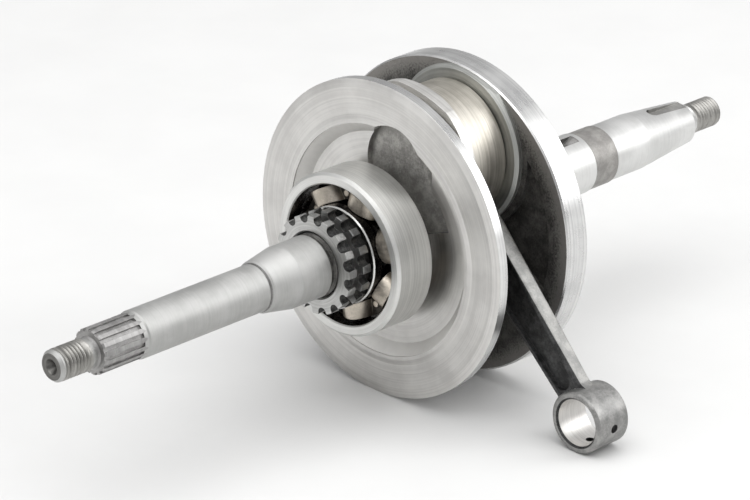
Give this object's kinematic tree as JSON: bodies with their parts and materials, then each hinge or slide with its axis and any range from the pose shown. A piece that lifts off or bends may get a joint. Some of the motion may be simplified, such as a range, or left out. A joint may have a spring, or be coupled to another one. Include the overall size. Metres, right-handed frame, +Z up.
{
  "type": "engine crankshaft",
  "caption": "Built-up crankshaft of a small engine: two round webs, crankpin, swinging connecting rod, ball bearing, chain sprocket and splined, tapered and threaded shaft ends.",
  "frame": {"origin": "on the crank axis at the middle of the main ball bearing", "axes": "+X along the crank axis from the splined end to the tapered end, +Z up as it lies on a level surface, the connecting rod leaning towards -Y"},
  "size_m": [0.2898, 0.1327, 0.102],
  "materials": {
    "machined_steel": "turned and ground, satin",
    "rod_steel": "forged, with machined ends",
    "bearing_steel": "ground",
    "ball_steel": "polished",
    "sprocket_steel": "hardened, matte",
    "cage_steel": "pressed sheet",
    "cage_copper": "plated"
  },
  "bodies": {
    "crank": {"left_crank_half": "machined_steel", "right_crank_half": "machined_steel", "crankpin": "bearing_steel", "timing_sprocket": "sprocket_steel", "bearing_inner_ring": "bearing_steel"},
    "outer_ring": {"bearing_outer_ring": "bearing_steel"},
    "ball_set": {"bearing_cage": "cage_steel", "bearing_ball_1": "ball_steel", "bearing_ball_2": "ball_steel", "bearing_ball_3": "ball_steel", "bearing_ball_4": "ball_steel", "bearing_ball_5": "ball_steel", "bearing_ball_6": "ball_steel", "bearing_ball_7": "ball_steel"},
    "rod": {"connecting_rod": "rod_steel"},
    "needle_set": {"big_end_cage": "cage_copper", "big_end_needle_1": "bearing_steel", "big_end_needle_2": "bearing_steel", "big_end_needle_3": "bearing_steel", "big_end_needle_4": "bearing_steel", "big_end_needle_5": "bearing_steel", "big_end_needle_6": "bearing_steel", "big_end_needle_7": "bearing_steel", "big_end_needle_8": "bearing_steel", "big_end_needle_9": "bearing_steel", "big_end_needle_10": "bearing_steel", "big_end_needle_11": "bearing_steel", "big_end_needle_12": "bearing_steel", "big_end_needle_13": "bearing_steel", "big_end_needle_14": "bearing_steel"}
  },
  "joints": [
    {"name": "bearing_turn", "type": "hinge", "parent": "crank", "child": "outer_ring", "pos_m": [0, 0, 0], "axis": [1, 0, 0], "continuous": true},
    {"name": "ball_set_turn", "type": "hinge", "parent": "crank", "child": "ball_set", "pos_m": [0, 0, 0], "axis": [1, 0, 0], "continuous": true},
    {"name": "rod_swing", "type": "hinge", "parent": "crank", "child": "rod", "pos_m": [0.0294, -0.00554, 0.0254], "axis": [1, 0, 0], "continuous": true},
    {"name": "needle_set_turn", "type": "hinge", "parent": "crank", "child": "needle_set", "pos_m": [0.0294, -0.00554, 0.0254], "axis": [1, 0, 0], "continuous": true}
  ],
  "couplings": [
    {"joint": "ball_set_turn", "follows": "bearing_turn", "ratio": 0.63229},
    {"joint": "needle_set_turn", "follows": "rod_swing", "ratio": 0.56667}
  ]
}
